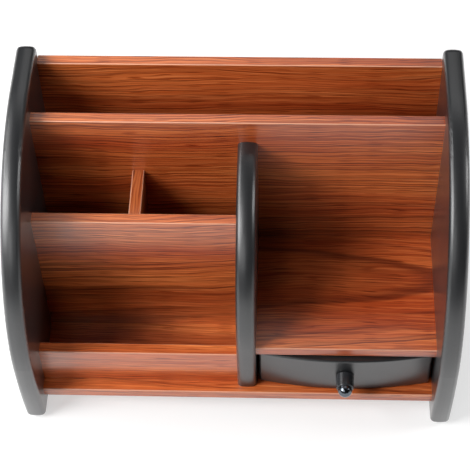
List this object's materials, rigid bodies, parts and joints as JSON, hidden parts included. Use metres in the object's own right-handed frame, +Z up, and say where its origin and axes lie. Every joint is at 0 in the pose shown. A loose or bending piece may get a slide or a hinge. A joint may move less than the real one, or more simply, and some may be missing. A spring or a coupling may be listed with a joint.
{
  "type": "rotating desk organizer",
  "caption": "Wooden desk organizer with black quarter-round sides, stepped wood-grain dividers, pen cells, an open tray and a bow-front drawer, turning on a low ball-bearing swivel.",
  "frame": {"origin": "on the desk, on the swivel axis, under the middle of the organizer", "axes": "+X to the right along the boards, +Y to the back, +Z up; the drawer opens towards -Y"},
  "size_m": [0.327, 0.192, 0.2265],
  "materials": {
    "black_lacquer": "satin black lacquer on MDF",
    "cherry_foil": "cherry wood-grain foil on MDF, satin",
    "hardboard": "smooth brown hardboard",
    "beech": "plain beech",
    "knob_black": "glossy black",
    "knob_chrome": "polished chrome plate",
    "zinc_steel": "zinc-plated pressed steel",
    "ball_steel": "polished steel",
    "nylon": "natural nylon",
    "rubber": "matte black rubber"
  },
  "bodies": {
    "foot": {"foot_pads": "rubber", "foot_disc": "black_lacquer", "lower_swivel_plate": "zinc_steel", "lower_plate_screws": "zinc_steel", "swivel_balls": "ball_steel", "ball_cage": "nylon", "swivel_eyelet": "zinc_steel"},
    "organizer": {"left_side_panel": "black_lacquer", "right_side_panel": "black_lacquer", "centre_panel": "black_lacquer", "base_board": "cherry_foil", "back_panel": "cherry_foil", "rear_divider": "cherry_foil", "front_divider": "cherry_foil", "low_front_wall": "cherry_foil", "pen_divider": "cherry_foil", "tray_board": "cherry_foil", "side_dowels": "beech", "centre_dowels": "beech", "pen_divider_dowels": "beech", "upper_swivel_plate": "zinc_steel", "upper_plate_screws": "zinc_steel"},
    "drawer": {"drawer_front": "black_lacquer", "drawer_left_side": "cherry_foil", "drawer_right_side": "cherry_foil", "drawer_back": "cherry_foil", "drawer_floor": "hardboard", "drawer_dowels": "beech", "drawer_knob": "knob_black", "knob_cap": "knob_chrome", "knob_screw": "zinc_steel"}
  },
  "joints": [
    {"name": "swivel", "type": "hinge", "parent": "foot", "child": "organizer", "pos_m": [0, 0, 0.0155], "axis": [0, 0, 1], "continuous": true},
    {"name": "drawer_slide", "type": "slide", "parent": "organizer", "child": "drawer", "axis": [0, -1, 0], "range_m": [0, 0.08]}
  ]
}
